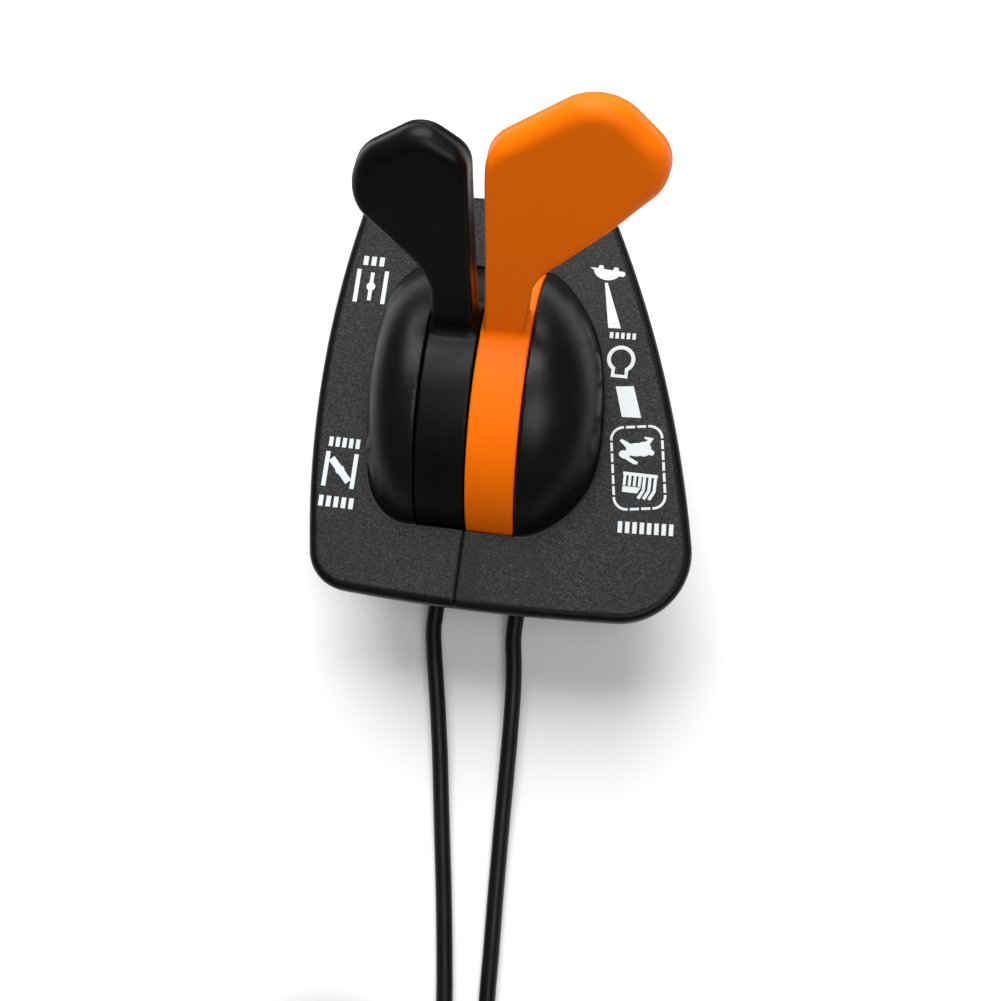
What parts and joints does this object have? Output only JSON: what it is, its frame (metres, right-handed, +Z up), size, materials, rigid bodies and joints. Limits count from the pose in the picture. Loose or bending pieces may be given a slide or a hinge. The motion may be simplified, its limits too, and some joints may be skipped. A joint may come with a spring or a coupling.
{
  "type": "dual-lever throttle and choke control",
  "caption": "Panel-mounted engine control with a black choke lever and an orange throttle lever on smooth drums, a grained bezel and two coiled push-pull cables.",
  "frame": {"origin": "centre of the housing and bezel's bounding box, at the flat bottom of the housing", "axes": "+X along the lever pivot from the choke to the throttle, +Y the way both levers lean at rest, +Z up out of the bezel; cables leave towards -Y"},
  "size_m": [0.1296, 0.3996, 0.1242],
  "materials": {
    "textured_plastic": "spark-eroded grain, gloss black humps and rim",
    "print": "pad-printed light grey ink",
    "black_plastic": "satin moulded",
    "orange_plastic": "satin moulded",
    "zinc_steel": "bright zinc",
    "friction_plastic": "plain",
    "wire": "drawn spring wire",
    "sleeve_metal": "crimped",
    "tie_plastic": "smooth",
    "conduit_plastic": "smooth extruded jacket"
  },
  "bodies": {
    "housing": {"left_housing": "textured_plastic", "right_housing": "textured_plastic", "housing_screws": "zinc_steel", "left_marks": "print", "right_marks": "print", "pivot_sleeve": "zinc_steel", "pivot_bolt": "zinc_steel", "pivot_washers": "zinc_steel", "pivot_nut": "zinc_steel", "centre_washer": "zinc_steel", "choke_friction_disc": "friction_plastic", "throttle_friction_disc": "friction_plastic", "choke_strain_relief": "conduit_plastic", "throttle_strain_relief": "conduit_plastic", "choke_conduit": "conduit_plastic", "throttle_conduit": "conduit_plastic", "choke_coil": "conduit_plastic", "throttle_coil": "conduit_plastic", "choke_coil_tie": "tie_plastic", "throttle_coil_tie": "tie_plastic", "choke_end_sleeve": "sleeve_metal", "throttle_end_sleeve": "sleeve_metal"},
    "choke_lever": {"choke_lever": "black_plastic"},
    "throttle_lever": {"throttle_lever": "orange_plastic"},
    "choke_wire": {"choke_wire": "wire"},
    "throttle_wire": {"throttle_wire": "wire"},
    "choke_end_wire": {"choke_end_wire": "wire"},
    "throttle_end_wire": {"throttle_end_wire": "wire"}
  },
  "joints": [
    {"name": "choke_pivot", "type": "hinge", "parent": "housing", "child": "choke_lever", "pos_m": [-0.01476, 0, 0.029], "axis": [1, 0, 0], "range_deg": [0, 50]},
    {"name": "throttle_pivot", "type": "hinge", "parent": "housing", "child": "throttle_lever", "pos_m": [-0.00076, 0, 0.029], "axis": [1, 0, 0], "range_deg": [0, 50]},
    {"name": "choke_wire_slide", "type": "slide", "parent": "housing", "child": "choke_wire", "axis": [0, 1, 0], "range_m": [0, 0.02052]},
    {"name": "throttle_wire_slide", "type": "slide", "parent": "housing", "child": "throttle_wire", "axis": [0, 1, 0], "range_m": [0, 0.02052]},
    {"name": "choke_end_slide", "type": "slide", "parent": "housing", "child": "choke_end_wire", "axis": [0, 1, 0], "range_m": [0, 0.02052]},
    {"name": "throttle_end_slide", "type": "slide", "parent": "housing", "child": "throttle_end_wire", "axis": [0, 1, 0], "range_m": [0, 0.02052]}
  ],
  "couplings": [
    {"joint": "choke_wire_slide", "follows": "choke_pivot", "m_per_rad": 0.0235},
    {"joint": "throttle_wire_slide", "follows": "throttle_pivot", "m_per_rad": 0.0235},
    {"joint": "choke_end_slide", "follows": "choke_pivot", "m_per_rad": 0.0235},
    {"joint": "throttle_end_slide", "follows": "throttle_pivot", "m_per_rad": 0.0235}
  ]
}
